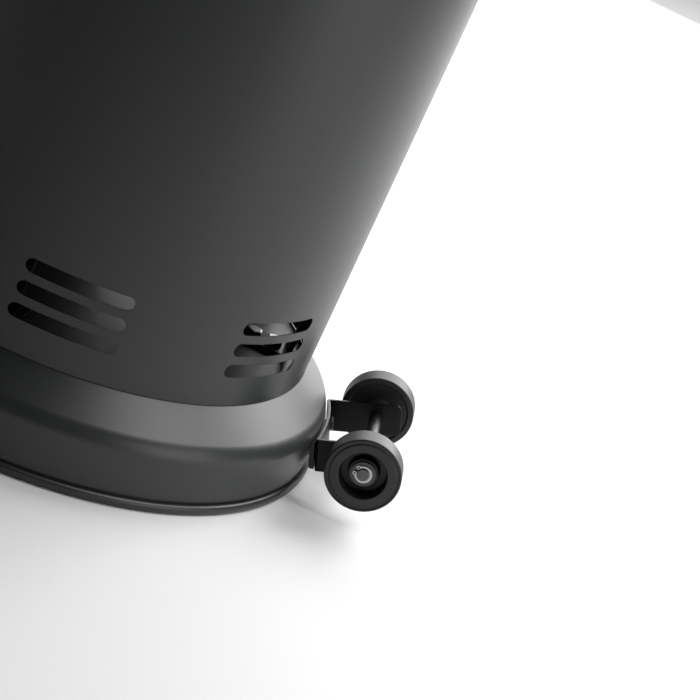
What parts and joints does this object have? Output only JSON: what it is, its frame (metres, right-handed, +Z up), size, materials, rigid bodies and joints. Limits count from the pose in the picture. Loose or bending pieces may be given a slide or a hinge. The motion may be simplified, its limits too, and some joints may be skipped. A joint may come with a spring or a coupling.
{
  "type": "outdoor heater",
  "caption": "Standing mushroom patio heater: round weighted base with a tilt-back wheel bracket, lift-up gas housing, post, burner head and dish reflector.",
  "frame": {"origin": "centre of the base's underside, on the floor", "axes": "+Z up along the post; -Y is the front, where the knob is; the transport wheels are at +Y with their axle along X"},
  "size_m": [0.813, 0.813, 2.2623],
  "materials": {
    "powder_coat": "satin charcoal-grey powder coat",
    "black_coat": "satin black powder coat",
    "black_steel": "blackened steel",
    "zinc_steel": "bright zinc plate",
    "bright_steel": "turned steel",
    "spring_steel": "bright spring steel",
    "cast_ballast": "rough cast iron",
    "wheel_plastic": "moulded charcoal-grey plastic",
    "black_plastic": "fine-grained black plastic",
    "red_plastic": "smooth red plastic",
    "valve_alloy": "die-cast alloy",
    "brass": "turned brass",
    "ceramic_white": "white ceramic",
    "stainless": "heat-toned stainless steel",
    "bright_aluminium": "bright rolled aluminium"
  },
  "bodies": {
    "base": {"base_cover": "powder_coat", "base_plate": "zinc_steel", "ballast_ring": "cast_ballast", "plate_screws": "zinc_steel", "foot_spacers": "zinc_steel", "locating_lug": "powder_coat", "wheel_bracket": "black_coat", "bracket_saddle": "black_plastic", "bracket_bolts": "black_steel", "taper_washers": "zinc_steel", "bracket_nuts": "zinc_steel", "axle": "bright_steel", "wheel_washers": "zinc_steel", "wheel_circlips": "spring_steel", "axle_circlips": "spring_steel", "support_rear": "black_coat", "support_right": "black_coat", "support_left": "black_coat", "foot_bolts": "zinc_steel", "post": "powder_coat", "post_collar": "zinc_steel", "tab_bolts": "zinc_steel", "head_flange": "zinc_steel", "head_screws": "zinc_steel", "head_shell": "powder_coat", "control_bezel": "black_plastic", "valve_body": "valve_alloy", "valve_bracket": "zinc_steel", "gas_inlet": "brass", "gas_jet": "brass", "igniter_body": "black_plastic", "tilt_switch": "black_plastic", "mixer_tube": "zinc_steel", "burner_pan": "stainless", "burner_head": "stainless", "pilot_burner": "stainless", "thermocouple": "brass", "electrode": "ceramic_white", "emitter_screen": "stainless", "emitter_cap": "stainless", "reflector_panel_1": "bright_aluminium", "reflector_panel_2": "bright_aluminium", "reflector_panel_3": "bright_aluminium", "reflector_panel_4": "bright_aluminium", "reflector_plate": "bright_aluminium", "reflector_screws": "zinc_steel", "reflector_studs": "zinc_steel", "wing_nuts": "zinc_steel"},
    "wheel_left": {"wheel_left": "wheel_plastic"},
    "wheel_right": {"wheel_right": "wheel_plastic"},
    "housing": {"housing_shell": "powder_coat", "housing_lid": "powder_coat", "lid_screws": "black_steel", "lid_bush": "black_plastic"},
    "valve_plunger": {"valve_plunger": "brass"},
    "control_knob": {"valve_stem": "brass", "control_knob": "black_plastic"},
    "igniter_button": {"igniter_button": "red_plastic"}
  },
  "joints": [
    {"name": "wheel_left_spin", "type": "hinge", "parent": "base", "child": "wheel_left", "pos_m": [-0.0661, 0.26615, 0.0457], "axis": [1, 0, 0], "continuous": true},
    {"name": "wheel_right_spin", "type": "hinge", "parent": "base", "child": "wheel_right", "pos_m": [0.0661, 0.26615, 0.0457], "axis": [1, 0, 0], "continuous": true},
    {"name": "housing_lift", "type": "slide", "parent": "base", "child": "housing", "axis": [0, 0, 1], "range_m": [0, 0.62]},
    {"name": "knob_push", "type": "slide", "parent": "base", "child": "valve_plunger", "axis": [0, 1, 0], "range_m": [0, 0.004], "stiffness_N_per_m": 1500, "springref_m": -0.002},
    {"name": "knob_turn", "type": "hinge", "parent": "valve_plunger", "child": "control_knob", "pos_m": [0, -0.0845, 1.698], "axis": [0, 1, 0], "range_deg": [-180, 0]},
    {"name": "igniter_push", "type": "slide", "parent": "base", "child": "igniter_button", "axis": [0, 1, 0], "range_m": [0, 0.0045], "stiffness_N_per_m": 2500, "springref_m": -0.002}
  ]
}
